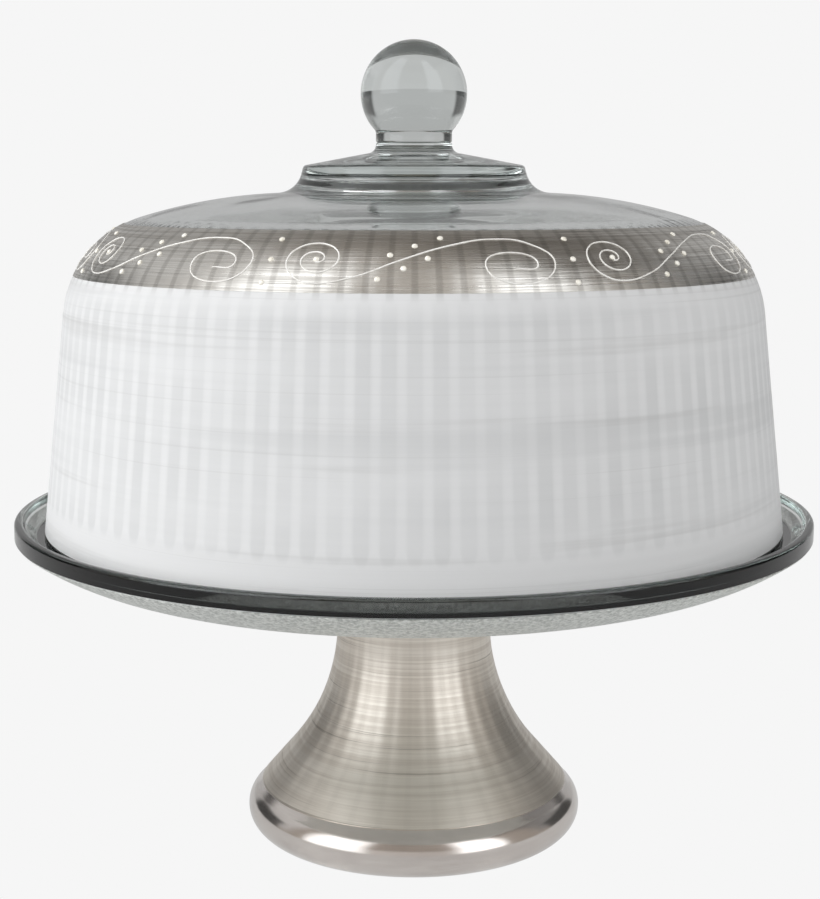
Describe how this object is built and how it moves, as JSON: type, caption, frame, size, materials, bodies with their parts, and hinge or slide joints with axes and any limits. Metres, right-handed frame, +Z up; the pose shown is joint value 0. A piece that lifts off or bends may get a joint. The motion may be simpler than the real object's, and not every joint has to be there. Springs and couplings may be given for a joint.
{
  "type": "domed cake stand",
  "caption": "Footed glass cake stand with a tall domed glass cover, ball knob, frosted wall and silver shoulder with raised scrolls.",
  "frame": {"origin": "centre of the foot's ring on the table", "axes": "+Z up along the axis of revolution; the front faces -Y; +X is to the right of someone who looks at the front"},
  "size_m": [0.286, 0.286, 0.2866],
  "materials": {
    "clear_glass": "clear, glossy",
    "textured_silver": "sparkling, pebbled silver-grey coat",
    "satin_silver": "satin brushed silver coat",
    "bright_silver": "bright silver lining",
    "brushed_silver": "horizontally brushed silver coat",
    "frosted_white": "brushed, frosted white coat",
    "white_enamel": "raised glossy enamel",
    "ivory_enamel": "raised glossy enamel beads"
  },
  "bodies": {
    "stand": {"cake_plate": "clear_glass", "plate_undercoat": "textured_silver", "pedestal": "clear_glass", "pedestal_silver_coat": "satin_silver", "pedestal_lining": "bright_silver"},
    "cover": {"dome_glass": "clear_glass", "knob": "clear_glass", "silver_band": "brushed_silver", "frosted_band": "frosted_white", "scroll_lines": "white_enamel", "pearl_dots": "ivory_enamel"}
  },
  "joints": [
    {"name": "cover_lift", "type": "slide", "parent": "stand", "child": "cover", "axis": [0, 0, 1], "range_m": [0, 0.2]}
  ]
}
